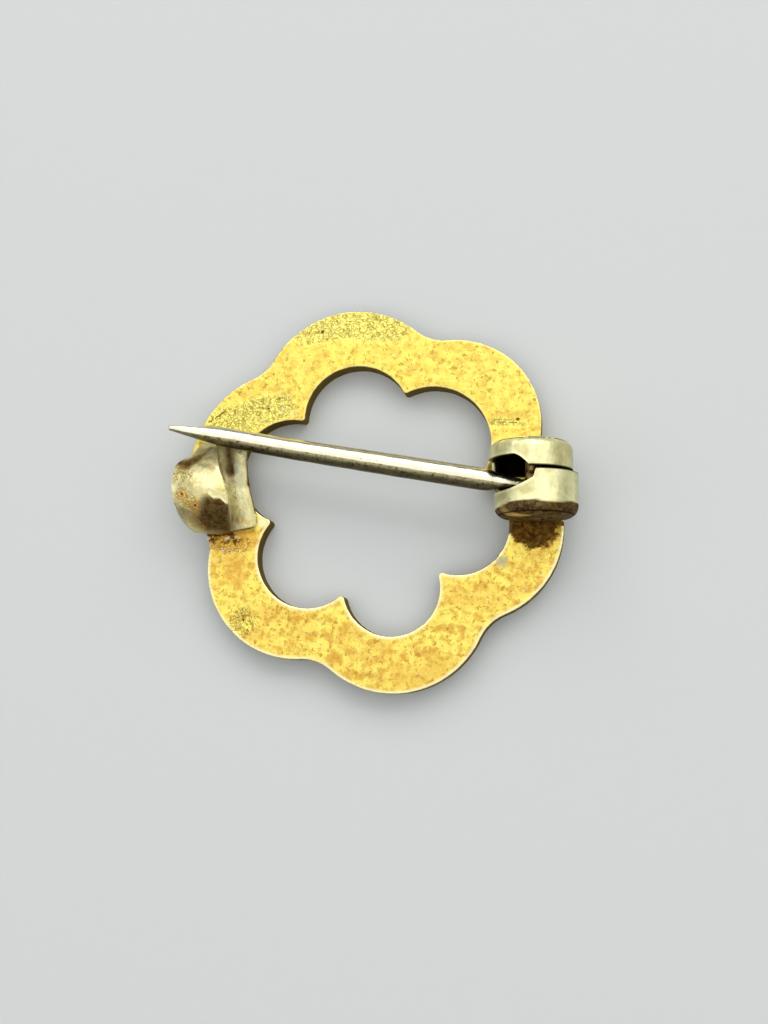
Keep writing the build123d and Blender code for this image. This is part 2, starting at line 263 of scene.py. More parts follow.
class PinStemSizes(bpy.types.PropertyGroup):
    diameter: length_of("Diameter", "Stem across", 0.8 * MM)
    length: length_of("Length", "Rivet to tip", 15.3 * MM)
    skew: angle_of("Skew", "Its turn sideways", 10.1)
    dip: angle_of("Dip", "Its dip to the tip", 1.2)
    offset: length_of("Offset", "Its place on the rivet", 0.13 * MM)
    point: length_of("Point", "Length of its point", 2.6 * MM)
    tip: length_of("Tip", "Radius of its tip", 0.12 * MM)
    swell: length_of("Swell", "How much its radius grows towards the joint", 0.045 * MM)
    neck: length_of("Neck", "Neck across", 0.5 * MM)
    eye: length_of("Eye", "Eye across", 1.5 * MM)
    eye_thickness: length_of("Eye thickness", "The flat eye's thickness", 0.46 * MM)
    eye_bore: length_of("Eye bore", "Its hole", 0.74 * MM)
    bend: length_of("Bend", "How far the tip is bent", 0.1 * MM)


class PinFinishes(bpy.types.PropertyGroup):
    gilt: colour_of("Gilt", "Bright gilding", (0.97, 0.82, 0.15))
    warm_gilt: colour_of("Warm gilt", "Gilding worn towards the brass", (0.93, 0.68, 0.12))
    pale_gilt: colour_of("Pale gilt", "Thin gilding on the fittings", (0.96, 0.94, 0.54))
    thin_gilt: colour_of("Thin gilt", "Gilding worn thin", (0.70, 0.62, 0.29))
    fresh_gilt: colour_of("Fresh gilt", "Greenish gilding between the cracks", (0.95, 0.92, 0.24))
    # Painted highlights: the edges and bright spots of the rim channel, rubbed bright in part, are laid in
    # this colour.
    polish_and_highlight: colour_of("Polished", "Edges rubbed bright", (0.99, 0.96, 0.55))
    orange: colour_of("Orange", "Orange tarnish", (0.72, 0.36, 0.05))
    amber: colour_of("Amber", "Amber mottling", (0.69, 0.37, 0.05))
    olive: colour_of("Olive", "Olive film on the fittings", (0.52, 0.47, 0.16))
    sienna: colour_of("Sienna", "Brown specks", (0.46, 0.24, 0.028))
    # Used in the cracks and the brown stains; the walls are darkened with the painted shade below.
    umber: colour_of("Umber", "Grime in the cracks and on the walls", (0.22, 0.11, 0.016))
    # Painted shade: the hollows, the creases, the upright walls, the stem's lower side and the near cup's end
    # are darkened with this colour.
    painted_shade: colour_of("Umbra", "Smooth dark tarnish in the hollows", (0.095, 0.052, 0.005))
    # Also mixed into the painted shade, with the colour above.
    brown: colour_of("Brown", "Dark brown tarnish", (0.065, 0.020, 0.004))
    # Painted shade inside the joint's cups and slit, and on the stem where it lies inside the joint.
    painted_inner_shade: colour_of("Soot", "The dark inside of the joint", (0.006, 0.004, 0.0025))
    # Grey green residue, and painted shade on the joint cups' flanks.
    residue_and_shade: colour_of("Grey", "Grey green residue", (0.52, 0.55, 0.36))
    crumb: colour_of("Crumbs", "Dry flux", (0.80, 0.74, 0.58))
    steel: colour_of("Stem", "The stem's white metal", (0.95, 0.93, 0.74))
    straw: colour_of("Straw", "The stem's yellow tarnish", (0.80, 0.70, 0.40))
    # A duller painted reflection along the far side of the stem's top.
    stem_dim_reflection: colour_of("Dull stem", "The stem's dull far side", (0.42, 0.39, 0.28))
    # Painted shade, dark, on the stem's lower side.
    stem_shade: colour_of("Stem, brown", "The stem's dark lower side", (0.05, 0.036, 0.012))
    # Painted half shade, olive, on the stem's lower side.
    stem_half_shade: colour_of("Stem, olive", "The stem's olive near side", (0.42, 0.37, 0.19))
    rivet: colour_of("Rivet", "The rivet's dull brass", (0.42, 0.30, 0.10))
    floor: colour_of("Floor", "Floor", (0.60, 0.62, 0.61))


class PinStageSizes(bpy.types.PropertyGroup):
    camera: FloatVectorProperty(
        name="Camera", description="Where the camera stands", default=(8.333 * MM, -7.853 * MM, 50.604 * MM),
        subtype="TRANSLATION",
    )
    towards: FloatVectorProperty(
        name="Back axis", description="From the pin to the camera", default=(0.15475, -0.14253, 0.97762),
        subtype="DIRECTION",
    )
    lens: FloatProperty(name="Lens", description="Focal length", default=43.95)
    floor: length_of("Floor", "Width of the floor", 1.8)
    wall: length_of("Wall", "Height of the wall round it", 0.45)


# Selecting and drawing

def only(piece):
    """Leaves object mode and selects this piece alone."""
    if bpy.context.object and bpy.context.object.mode != "OBJECT":
        bpy.ops.object.mode_set(mode="OBJECT")
    bpy.ops.object.select_all(action="DESELECT")
    if piece:
        piece.select_set(True)
        bpy.context.view_layer.objects.active = piece


def edit(piece):
    """Opens a piece in edit mode with nothing selected."""
    only(piece)
    bpy.ops.object.mode_set(mode="EDIT")
    bpy.ops.mesh.select_mode(type="VERT")
    bpy.ops.mesh.select_all(action="DESELECT")


def join(piece, *others):
    """Joins other pieces to a piece."""
    only(piece)
    for other in others:
        other.select_set(True)
    bpy.ops.object.join()


def select_all():
    """Selects the whole mesh that is being edited."""
    bpy.ops.mesh.select_all(action="SELECT")


def start_point(point):
    """One new selected point in the mesh that is being edited."""
    bpy.ops.mesh.select_all(action="DESELECT")
    bpy.ops.mesh.primitive_plane_add(size=MM)
    bpy.ops.mesh.merge(type="CENTER")
    bpy.ops.transform.translate(value=point)


def new_line(name, point):
    """A new piece, open in edit mode, with one selected point."""
    only(None)
    bpy.ops.mesh.primitive_plane_add(size=MM)
    piece = bpy.context.active_object
    piece.name = piece.data.name = name
    bpy.ops.object.mode_set(mode="EDIT")
    bpy.ops.mesh.select_mode(type="VERT")
    bpy.ops.mesh.merge(type="CENTER")
    bpy.ops.transform.translate(value=point)
    return piece


def draw(points):
    """Extrudes the selected point along a list of places."""
    for before, after in zip(points, points[1:]):
        step = Vector(after) - Vector(before)
        bpy.ops.mesh.extrude_vertices_move(TRANSFORM_OT_translate={"value": step})


def draw_rails(name, rails):
    """A new piece, open in edit mode, with a drawn line for each rail."""
    piece = new_line(name, rails[0][0])
    draw(rails[0])
    for rail in rails[1:]:
        start_point(rail[0])
        draw(rail)
    return piece


def spin(angle, steps, centre=(0, 0, 0), axis=(0, 0, 1)):
    """Spins what is selected anticlockwise about the axis, by a signed angle in degrees."""
    turned = tuple(-part for part in axis)
    bpy.ops.mesh.spin(steps=steps, angle=math.radians(angle), center=centre, axis=turned)


def weld():
    """Merges doubles all over."""
    select_all()
    bpy.ops.mesh.remove_doubles(threshold=MICRON)


def arc(across, along, radius, first, last, steps):
    """Points on an arc round a centre, all but the first, by their angles from the second axis."""
    angles = [first + (last - first) * step / steps for step in range(1, steps + 1)]
    return [(across + radius * math.sin(angle), along + radius * math.cos(angle)) for angle in angles]


def spun(name, profile, axis, *stretches):
    """A new piece, open in edit mode: a profile spun in stretches, each of some degrees and steps.

    The profile's points are pairs, along X and Y, or along X and Z where it is spun about Z.
    """
    points = [Vector((first, 0, second) if axis[2] else (first, second, 0)) for first, second in profile]
    piece = new_line(name, points[0])
    draw(points)
    select_all()
    for turn, steps in stretches:
        spin(turn, steps, axis=axis)
    weld()
    return piece


def choose(piece, test):
    """Selects the vertices whose places pass the test, in edit mode."""
    mesh = bmesh.from_edit_mesh(piece.data)
    for vertex in mesh.verts:
        vertex.select_set(False)
    for vertex in [vertex for vertex in mesh.verts if test(vertex.co)]:
        vertex.select_set(True)
    mesh.select_flush_mode()
    bmesh.update_edit_mesh(piece.data)


def pull(shift, reach):
    """Moves what is selected, and what lies within reach of it less and less."""
    bpy.ops.transform.translate(
        value=shift, use_proportional_edit=True, proportional_edit_falloff="SMOOTH", proportional_size=reach
    )


def swell(piece, top, x, y, reach, rise):
    """Raises or sinks one low form of a face, its sizes in millimetres."""
    centre = Vector((x * MM, y * MM, top))
    places = [vertex.co.copy() for vertex in bmesh.from_edit_mesh(piece.data).verts]
    nearest = min(places, key=lambda place_of: (place_of - centre).length_squared)
    choose(piece, lambda place_of: place_of == nearest)
    pull((0, 0, rise * MM), reach * MM)


def face_away(piece, centre):
    """Turns the faces so that, on the whole, they look away from a point."""
    select_all()
    bpy.ops.mesh.normals_make_consistent(inside=False)
    mesh = bmesh.from_edit_mesh(piece.data)
    mesh.normal_update()
    looks = sum(
        (face.calc_center_median() - centre).dot(face.normal) * face.calc_area() for face in mesh.faces
    )
    if looks < 0:
        bpy.ops.mesh.flip_normals()


def modify(piece, kind, **settings):
    """Adds a modifier and applies it."""
    only(piece)
    modifier = piece.modifiers.new(kind.title(), kind)
    for name, value in settings.items():
        setattr(modifier, name, value)
    bpy.ops.object.modifier_apply(modifier=modifier.name)


def smooth_levels(piece, levels):
    """Applies a subdivision surface."""
    modify(piece, "SUBSURF", levels=levels, render_levels=levels)


def thicken(piece, thickness, offset=-1.0):
    """Gives a surface its sheet's thickness."""
    modify(piece, "SOLIDIFY", thickness=thickness, offset=offset, use_even_offset=True)


def round_edges(piece, width, segments=3, degrees=60):
    """Rounds the edges that are sharper than an angle."""
    limit = math.radians(degrees)
    modify(piece, "BEVEL", width=width, segments=segments, limit_method="ANGLE", angle_limit=limit)


def roughen(piece, size, rise, depth=2, group=""):
    """Sinks a piece's surface, or one group of it, unevenly by up to rise."""
    texture = bpy.data.textures.new(f"{piece.name}_{group or 'relief'}", "CLOUDS")
    texture.noise_scale = size
    texture.noise_depth = depth
    settings = {"texture": texture, "texture_coords": "LOCAL", "vertex_group": group}
    modify(piece, "DISPLACE", strength=rise, mid_level=1.0, **settings)


def place(piece, matrix):
    """Moves a finished mesh to its place and leaves its object at the origin."""
    only(piece)
    piece.matrix_world = matrix
    bpy.ops.object.transform_apply(location=True, rotation=True, scale=True)


def smooth(piece, degrees):
    """Shades a piece smooth, with its sharp edges kept."""
    only(piece)
    bpy.ops.object.shade_smooth_by_angle(angle=math.radians(degrees))


def finish_piece(piece, material, slot, body, *nodes):
    """Gives a finished mesh its material, hides the parts of model.glb that it takes the place of, and
    attaches it to the body that it moves with.
    """
    piece.data.materials.clear()
    piece.data.materials.append(material)
    if nodes:
        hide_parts(*nodes)
    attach(piece, body)


# Channels: one value for each vertex, for the finish to read

# The weakest value that sinks a surface, the steepest normal of a wall, and a mark's least soft edge.
WEAKEST = 0.02
UPRIGHT = 0.3
SOFTEST = 0.03 * MM


def rows_of(piece, kind):
    """The vertices' places, "co", or their normals, "normal", as rows of an array."""
    flat = np.empty(len(piece.data.vertices) * 3)
    piece.data.vertices.foreach_get(kind, flat)
    return flat.reshape(-1, 3)


def write_channels(piece, **channels):
    """Writes channels, over what they hold if they are there."""
    attributes = piece.data.attributes
    for name, values in channels.items():
        channel = attributes.get(name) or attributes.new(name, "FLOAT", "POINT")
        channel.data.foreach_set("value", values.astype(np.float32))


def read_channel(piece, name):
    """A channel's values as an array."""
    values = np.empty(len(piece.data.vertices), dtype=np.float32)
    piece.data.attributes[name].data.foreach_get("value", values)
    return values


def soft_step(values, low, high):
    """A smooth step from 0 to 1 between two levels, for a value or an array."""
    share = np.clip((values - low) / (high - low), 0, 1)
    return share * share * (3 - 2 * share)


def mark_strength(places, mark, softness):
    """How strongly one mark covers each place, seen from above."""
    *line, width, strength = mark
    start = np.array(line[:2]) * MM
    run = np.array(line[-2:]) * MM - start
    flat = places[:, :2] - start
    along = np.clip(flat @ run / max(run @ run, MICRON**2), 0, 1)
    distance = np.linalg.norm(flat - along[:, None] * run, axis=1)
    radius = width * MM / 2
    soft = max(radius * softness, SOFTEST)
    return strength * np.clip((radius + soft - distance) / (2 * soft), 0, 1)


def chart_marks(piece, charts, above=0.0):
    """Writes the charted marks above a height: the strongest at each place, or for the painted shade all
    together.
    """
    places = rows_of(piece, "co")
    allowed = places[:, 2] > above
    for name in CHANNELS:
        if name not in charts:
            continue
        if name == "deep":
            clear = [1 - mark_strength(places, mark, 1.0) for mark in charts[name]]
            values = 1 - np.prod(clear, axis=0)
        else:
            values = np.max([mark_strength(places, mark, 0.5) for mark in charts[name]], axis=0)
        write_channels(piece, **{name: values * allowed})


def near_walls(piece, reach):
    """How near each place of the back is to the upright walls: 1 at a wall, 0 at reach from it."""
    places = rows_of(piece, "co")
    walls = places[np.abs(rows_of(piece, "normal")[:, 2]) < UPRIGHT]
    tree = KDTree(len(walls))
    for number, place_of in enumerate(walls):
        tree.insert(place_of, number)
    tree.balance()
    distances = np.array([tree.find(place_of)[2] for place_of in places])
    return 1 - soft_step(distances, 0.0, reach)


def write_edge_highlights(piece, near):
    """Adds painted highlights along the edges to the charted bright spots, wide on the near side and thin on
    the far side.
    """
    far = soft_step(rows_of(piece, "co")[:, 1], -4 * MM, 4 * MM)
    bright = np.clip((near - 0.35 - 0.30 * far) / (0.40 - 0.10 * far), 0, 1) * (0.80 - 0.40 * far)
    write_channels(piece, rim=np.maximum(read_channel(piece, "rim"), bright))


def sink_where(piece, channel, size, rise):
    """Sinks a piece's surface unevenly where one of its channels is strong."""
    group = piece.vertex_groups.new(name=channel)
    values = read_channel(piece, channel)
    for number in np.flatnonzero(values > WEAKEST):
        group.add([int(number)], float(values[number]), "REPLACE")
    roughen(piece, size, rise, 1, channel)
    piece.vertex_groups.clear()


# Finishes

class Tree:
    """A new material and its nodes. Most methods add one node and give its output."""

    def __init__(self, name):
        self.material = bpy.data.materials.new(name)
        self.material.use_nodes = True
        self.tree = self.material.node_tree
        self.tree.nodes.clear()
        output = self.tree.nodes.new("ShaderNodeOutputMaterial")
        self.shader = self.tree.nodes.new("ShaderNodeBsdfPrincipled")
        self.tree.links.new(self.shader.outputs["BSDF"], output.inputs["Surface"])
        self.place_of = self.add("TexCoord", "Object", {})

    def fill(self, node, inputs):
        """Links each named socket of a node, or sets it to a plain value or colour."""
        for name, value in inputs.items():
            if isinstance(value, bpy.types.NodeSocket):
                self.tree.links.new(value, node.inputs[name])
            else:
                node.inputs[name].default_value = (*value, 1.0) if isinstance(value, Color) else value

    def add(self, kind, output, inputs, **settings):
        """A node of any kind."""
        node = self.tree.nodes.new("ShaderNode" + kind)
        for name, value in settings.items():
            setattr(node, name, value)
        self.fill(node, inputs)
        return node.outputs[output]

    def noise(self, size, detail=4.0, roughness=0.55, distortion=0.0, vector=None):
        """A noise pattern from 0 to 1, its forms about size across, in metres."""
        inputs = {"Scale": 1 / size, "Detail": detail, "Roughness": roughness, "Distortion": distortion}
        return self.add("TexNoise", "Fac", {"Vector": vector or self.place_of, **inputs})

    def stretched(self, scale, turn=0.0):
        """The coordinates stretched along the axes and turned about Z."""
        inputs = {"Vector": self.place_of, "Scale": scale, "Rotation": (0, 0, turn)}
        return self.add("Mapping", "Vector", inputs)

    def ramp(self, value, low, high, start=0.0, end=1.0):
        """A smooth step from start to end between two levels."""
        inputs = {"Value": value, "From Min": low, "From Max": high, "To Min": start, "To Max": end}
        return self.add("MapRange", "Result", inputs, interpolation_type="SMOOTHSTEP")

    def reckon(self, operation, first, *others):
        """A sum, a difference or the like of values, one after the other."""
        for other in others or (0.5,):
            first = self.add("Math", "Value", {0: first, 1: other}, operation=operation)
        return first

    def product(self, *values):
        """Values multiplied."""
        return self.reckon("MULTIPLY", *values)

    def blend(self, share, first, second):
        """A mix of two colours."""
        return self.add("Mix", 2, {"Factor": share, 6: first, 7: second}, data_type="RGBA")

    def layered(self, colour, *layers):
        """A colour with others laid over it, each with its share."""
        for share, layer in layers:
            colour = self.blend(share, colour, layer)
        return colour

    def channel(self, name):
        """One of the channels."""
        return self.add("Attribute", "Fac", {}, attribute_name=name)

    def broken(self, name, grain, low=0.45, high=0.62):
        """A channel with its edge broken up by a noise."""
        rough_edge = self.product(self.reckon("SUBTRACT", grain, 0.5), 0.9)
        return self.ramp(self.reckon("ADD", self.channel(name), rough_edge), low, high)

    def bump(self, height, distance):
        """A bump normal."""
        return self.add("Bump", "Normal", {"Strength": 1.0, "Distance": distance, "Height": height})

    def crazing(self):
        """Distance, in shares of a noise's range, from the nearest of two sets of wandering lines."""
        noise = self.add("TexNoise", "Color", {"Vector": self.place_of, "Scale": 1 / (0.20 * MM)})
        reach = (0.10 * MM,) * 3
        inputs = {0: noise, 1: reach, 2: self.place_of}
        bent = self.add("VectorMath", "Vector", inputs, operation="MULTIPLY_ADD")
        sets = []
        for size, weight in ((0.17 * MM, 1.0), (0.30 * MM, 1.4)):
            apart = self.reckon("SUBTRACT", self.noise(size, 2.0, 0.5, 0.0, bent), 0.5)
            sets.append(self.product(self.reckon("ABSOLUTE", apart), weight))
        return self.reckon("MINIMUM", *sets)

    def shade(self, **inputs):
        """Fills the shader's inputs, named with underscores for blanks, and gives the material."""
        self.fill(self.shader, {name.replace("_", " "): value for name, value in inputs.items()})
        return self.material


# A gilding's colours, and how strongly it is mottled with one and specked with brown.
Tones = namedtuple("Tones", "bright warm mottle mottled specked")


def gilt_finish(name, tones, streak=(1, 1, 1), roughness=0.30):
    """Worn gilding: amber clouds, blotches, specks, cracks, tarnish and stains, edges rubbed bright with
    painted highlights, and painted shade in the hollows, on the walls and inside the joint.
    """
    finish = bpy.context.scene.pin_finishes
    tree = Tree(name)
    ramp, product, channel, broken, blend = tree.ramp, tree.product, tree.channel, tree.broken, tree.blend
    streaks = tree.stretched(streak)
    large = tree.noise(1.3 * MM, 3.0)
    medium = tree.noise(0.30 * MM, 5.0, 0.65)
    blotch = tree.noise(0.32 * MM, 3.0, 0.6, 0.4, streaks)
    fine = tree.noise(0.11 * MM, 3.0, 0.6, 0.0, streaks)
    specks = tree.noise(0.17 * MM, 4.0, 0.62, 0.6)
    net = tree.crazing()
    brown = broken("brown", medium)
    orange = product(broken("orange", medium, 0.25, 0.95), ramp(specks, 0.40, 0.56, 0.35, 1.0))
    pale = broken("pale", medium, 0.35, 0.80)
    cracked = broken("cracked", large, 0.30, 0.70)
    # Painted highlights on edges and bright spots, in part edges rubbed bright.
    rim = product(channel("rim"), ramp(large, 0.35, 0.52, 0.6, 1.0))
    # Painted shade and shadows in hollows, creases and round the fittings.
    deep = product(ramp(channel("deep"), 0.08, 0.84), ramp(specks, 0.35, 0.70, 1.0, 0.86))
    # Painted shade on the upright walls.
    edge = ramp(channel("wall"), 0.1, 0.9, 0.0, 0.94)
    # Painted shade inside the joint.
    dark = channel("dark")
    cool = channel("cool")

    clouds = ramp(large, 0.52, 0.66, 0.0, 0.3)
    clouds = tree.reckon("MAXIMUM", clouds, ramp(blotch, 0.42, 0.66, 0.0, tones.mottled))
    stain = blend(ramp(specks, 0.45, 0.68), finish.brown, finish.umber)
    colour = tree.layered(
        tones.bright,
        (product(ramp(large, 0.40, 0.60, 0.0, 0.9), ramp(cool, 0.0, 1.0, 1.0, 0.3)), tones.warm),
        (product(clouds, ramp(cool, 0.0, 1.0, 1.0, 0.62)), tones.mottle),
        (ramp(fine, 0.47, 0.33, 0.0, 0.30), finish.pale_gilt),
        (ramp(specks, 0.545, 0.66, 0.0, tones.specked), finish.sienna),
        (product(cracked, ramp(cool, 0.0, 1.0, 0.2, 0.6)), finish.fresh_gilt),
        (product(ramp(specks, 0.54, 0.62, 0.0, 0.65), cracked), finish.sienna),
        (product(ramp(net, 0.0, 0.06, 0.65, 0.0), cracked, ramp(medium, 0.41, 0.53)), finish.umber),
        (deep, blend(ramp(blotch, 0.40, 0.62), finish.painted_shade, finish.brown)),
        (rim, finish.polish_and_highlight),
        (product(orange, 0.70), finish.orange),
        # Grey green residue, and painted shade on the cups' flanks.
        (product(pale, 0.65), finish.residue_and_shade),
        (product(brown, ramp(medium, 0.35, 0.70, 1.0, 0.88)), stain),
        (edge, finish.painted_shade),
        (dark, finish.painted_inner_shade),
    )
    # Stains and painted shade are less metallic and rougher.
    dull = tree.reckon("MAXIMUM", brown, dark, deep, edge)
    rough = ramp(medium, 0.3, 0.7, roughness - 0.05, roughness + 0.12)
    rough = tree.reckon("ADD", rough, product(dull, 0.22))
    grooves = product(ramp(net, 0.0, 0.08, 1.0, 0.0), cracked)
    height = tree.reckon("ADD", medium, product(fine, 0.35))
    height = tree.reckon("SUBTRACT", height, product(grooves, 0.8))
    return tree.shade(
        Base_Color=colour,
        Metallic=ramp(dull, 0.0, 1.0, 1.0, 0.5),
        Specular_IOR_Level=0.0,
        Roughness=tree.reckon("SUBTRACT", rough, product(rim, 0.08)),
        Normal=tree.bump(height, 0.018 * MM),
    )


def steel_finish():
    """White metal under a thin yellow tarnish, with drawing marks along the wire; painted shade from olive to
    dark brown below, a duller painted reflection along the far side of its top, and painted shade where it
    lies inside the joint.
    """
    finish = bpy.context.scene.pin_finishes
    tree = Tree("stem_metal")
    ramp, product = tree.ramp, tree.product
    along = tree.stretched((0.10, 1, 1), bpy.context.scene.pin_stem.skew)
    drawn = tree.noise(0.09 * MM, 4.0, 0.6, 0.0, along)
    stain = tree.noise(0.9 * MM, 5.0, 0.6)
    fleck = tree.noise(0.14 * MM, 4.0, 0.6)
    # Painted shade on the stem's lower side.
    under = tree.broken("brown", drawn, 0.35, 0.70)
    # A duller painted reflection along the far side of its top.
    painted_dim_top = tree.broken("dim", drawn, 0.30, 0.70)
    colour = tree.layered(
        finish.steel,
        (ramp(stain, 0.42, 0.72, 0.0, 0.5), finish.straw),
        (ramp(drawn, 0.50, 0.66, 0.0, 0.30), finish.straw),
        (ramp(fleck, 0.62, 0.74, 0.0, 0.45), finish.sienna),
        (product(painted_dim_top, 0.72), finish.stem_dim_reflection),
        (product(under, 0.94), tree.blend(ramp(fleck, 0.50, 0.66), finish.stem_half_shade, finish.painted_shade)),
        # Painted shade, darkest along the lower side.
        (product(tree.channel("deep"), ramp(drawn, 0.35, 0.65, 1.0, 0.80)), finish.stem_shade),
        # Painted shade inside the joint.
        (tree.channel("dark"), finish.painted_inner_shade),
    )
    rough = tree.reckon("ADD", ramp(drawn, 0.3, 0.7, 0.20, 0.34), product(under, 0.10))
    return tree.shade(Base_Color=colour, Metallic=1.0, Roughness=rough, Normal=tree.bump(drawn, 0.008 * MM))


def crumb_finish():
    """Pale dry flux in crumbs."""
    finish = bpy.context.scene.pin_finishes
    tree = Tree("flux_crumbs")
    patch = tree.noise(0.10 * MM, 4.0, 0.6)
    colour = tree.blend(tree.ramp(patch, 0.42, 0.62), finish.crumb, finish.orange)
    return tree.shade(Base_Color=colour, Roughness=0.45, Normal=tree.bump(patch, 0.01 * MM))


def rivet_finish():
    """Dull tarnished brass."""
    finish = bpy.context.scene.pin_finishes
    tree = Tree("rivet_brass")
    patch = tree.noise(0.2 * MM, 5.0, 0.6)
    colour = tree.blend(tree.ramp(patch, 0.4, 0.65), finish.rivet, finish.brown)
    rough = tree.ramp(patch, 0.3, 0.7, 0.35, 0.6)
    return tree.shade(Base_Color=colour, Metallic=0.9, Roughness=rough, Normal=tree.bump(patch, 0.01 * MM))


def floor_finish():
    """Plain pale matt floor."""
    pale = bpy.context.scene.pin_finishes.floor
    tree = Tree("plain_floor")
    colour = tree.blend(tree.noise(0.5 * MM, 2.0), pale * 0.985, pale)
    return tree.shade(Base_Color=colour, Roughness=0.9, Specular_IOR_Level=0.2)


# Flower ring

def turned_by(vector, degrees):
    """A flat vector turned anticlockwise."""
    return Matrix.Rotation(math.radians(degrees), 3, "Z") @ vector


def heading(vector):
    """A flat vector's direction in degrees."""
    return math.degrees(math.atan2(vector.y, vector.x))


def even_lobe_radius(reach, hollow_depth, hollow_radius):
    """The lobe radius with which hollows of that radius lie hollow_depth in from the lobes' reach."""
    hollow_distance = reach - hollow_depth + hollow_radius
    inward = hollow_distance * math.cos(math.radians(LOBE_PITCH / 2))
    squares = reach**2 + hollow_distance**2 - hollow_radius**2
    return (squares - 2 * reach * inward) / (2 * (reach - inward + hollow_radius))


def hollow_centre(centre, radius, next_centre, next_radius, hollow_radius):
    """The centre of the arc that touches two neighbouring lobes from outside."""
    link = next_centre - centre
    near = radius + hollow_radius
    far = next_radius + hollow_radius
    along = (near**2 - far**2 + link.length_squared) / (2 * link.length)
    outward = math.sqrt(near**2 - along**2)
    direction = link.normalized()
    return centre + direction * along + turned_by(direction, -90) * outward


def flower_arcs(ring, reach, hollow_depth, hollow_radius, shares):
    """Where the outline starts, and its arcs: centre and signed sweep, lobe and hollow in turn."""
    count = len(shares)
    lobe_radius = even_lobe_radius(reach, hollow_depth, hollow_radius)
    radii = [lobe_radius * round_share for _, round_share in shares]
    first = math.degrees(ring.first_lobe)
    outward = [turned_by(Vector((1, 0, 0)), first + number * LOBE_PITCH) for number in range(count)]
    lobes = [outward[i] * (reach * shares[i][0] - radii[i]) for i in range(count)]
    after = [(i + 1) % count for i in range(count)]
    between = []
    for i in range(count):
        between.append(hollow_centre(lobes[i], radii[i], lobes[after[i]], radii[after[i]], hollow_radius))
    arcs = []
    for i in range(count):
        lobe_sweep = (heading(between[i] - lobes[i]) - heading(between[i - 1] - lobes[i])) % 360
        hollow_turn = heading(lobes[after[i]] - between[i]) - heading(lobes[i] - between[i])
        arcs.append((lobes[i], lobe_sweep))
        arcs.append((between[i], (hollow_turn + 180) % 360 - 180))
    start = lobes[0] + (between[-1] - lobes[0]).normalized() * radii[0]
    return start, arcs


# Steps along each arc of the outlines, and cuts between the outer and the inner one.
LOBE_STEPS = 60
HOLLOW_STEPS = 18
BAND_CUTS = 13


def draw_flower(arcs):
    """Spins the selected point along the outline."""
    for number, (centre, sweep) in enumerate(arcs):
        spin(sweep, HOLLOW_STEPS if number % 2 else LOBE_STEPS, centre)


def model_flower_ring():
    """The flat band between two flower outlines, its edges rounded and its face worn uneven."""
    ring = bpy.context.scene.pin_ring
    reach = ring.width / 2
    start, arcs = flower_arcs(ring, reach, ring.notch_depth, ring.notch_radius, OUTER_LOBES)
    piece = new_line("flower_ring", start)
    draw_flower(arcs)
    start, arcs = flower_arcs(ring, reach - ring.band, ring.cusp_depth, ring.cusp_radius, INNER_LOBES)
    start_point(start)
    draw_flower(arcs)
    weld()
    select_all()
    bpy.ops.mesh.bridge_edge_loops(number_cuts=BAND_CUTS, interpolation="LINEAR")
    select_all()
    bpy.ops.mesh.extrude_region_move(TRANSFORM_OT_translate={"value": (0, 0, ring.thickness)})
    select_all()
    bpy.ops.mesh.normals_make_consistent(inside=False)
    for row in RING_SWELLS:
        swell(piece, ring.thickness, *row)
    round_edges(piece, ring.edge)
    smooth_levels(piece, 1)
    roughen(piece, 0.28 * MM, ring.relief, 3)
    smooth(piece, 60)
    return piece


# Joint cups

# Where the rows of points on a cup's side lie, from its shoulder to its mouth.
SIDE_SHARES = (0.75, 0.5, 0.3, 0.15, 0.06, 0.0)


def cup_profile(joint, depth):
    """Half of a cup's outside, from the bore over the dome to the mouth, and how long its side is."""
    radius = joint.diameter / 2
    bore = joint.bore / 2
    shoulder = depth - joint.dome
    dome_radius = (radius**2 + joint.dome**2) / (2 * joint.dome)
    dome_centre = depth - dome_radius
    corner_centre = Vector((radius - joint.corner, 0))
    inner_reach = dome_radius - joint.corner
    corner_centre.y = dome_centre + math.sqrt(inner_reach**2 - corner_centre.x**2)
    touch = math.atan2(corner_centre.x, corner_centre.y - dome_centre)
    first = math.asin(bore / dome_radius)
    points = [(bore, dome_centre + dome_radius * math.cos(first))]
    points += arc(0, dome_centre, dome_radius, first, touch, 6)
    points += arc(*corner_centre, joint.corner, touch, math.pi / 2, 5)
    side = min(shoulder, corner_centre.y)
    points += [(radius, side * share) for share in SIDE_SHARES]
    return points, side


# The cups' columns: how far each stretch turns from the outer side over the crest, and in how many steps.
CUP_STRETCHES = ((82, 14), (32, 32), (76, 16), (14, 14), (156, 26))
SLOT_FIRST = 82
SLOT_LAST = 205
# Half of a column's width at a distance of one from the axis.
COLUMN_HALF = 0.004
# The near rim's step: half its width, and its share of the slot's depth.
STEP_HALF = 0.04 * MM
STEP_SHARE = 0.42


def share_of(value, low, high):
    """Where a value lies between two others, from 0 to 1."""
    return max(0.0, min(1.0, (value - low) / (high - low)))


def far_slot_share(across, joint):
    """The far rim's cut: full on the inner side, and running out in an arch at the crest."""
    return 1 - (1 - share_of(-across, 0, joint.slot_taper)) ** 1.5


def near_slot_share(across, joint):
    """The near rim's cut: it starts with a step past the crest and deepens towards the inner side."""
    step = share_of(-across, -STEP_HALF, STEP_HALF)
    slope = 1 - (1 - share_of(-across, STEP_HALF, STEP_HALF + joint.slot_slope)) ** 1.5
    return STEP_SHARE * step + (1 - STEP_SHARE) * slope


def slot_share(angle, joint, rim_share):
    """How deep the slot is cut at an angle, as a share of its full depth."""
    radius = joint.diameter / 2
    if angle > 180:
        high = radius * math.sin(math.radians(angle))
        return soft_step(high, -joint.slot_floor, -joint.slot_floor + 0.12 * MM)
    return rim_share(radius * math.cos(math.radians(angle)), joint)


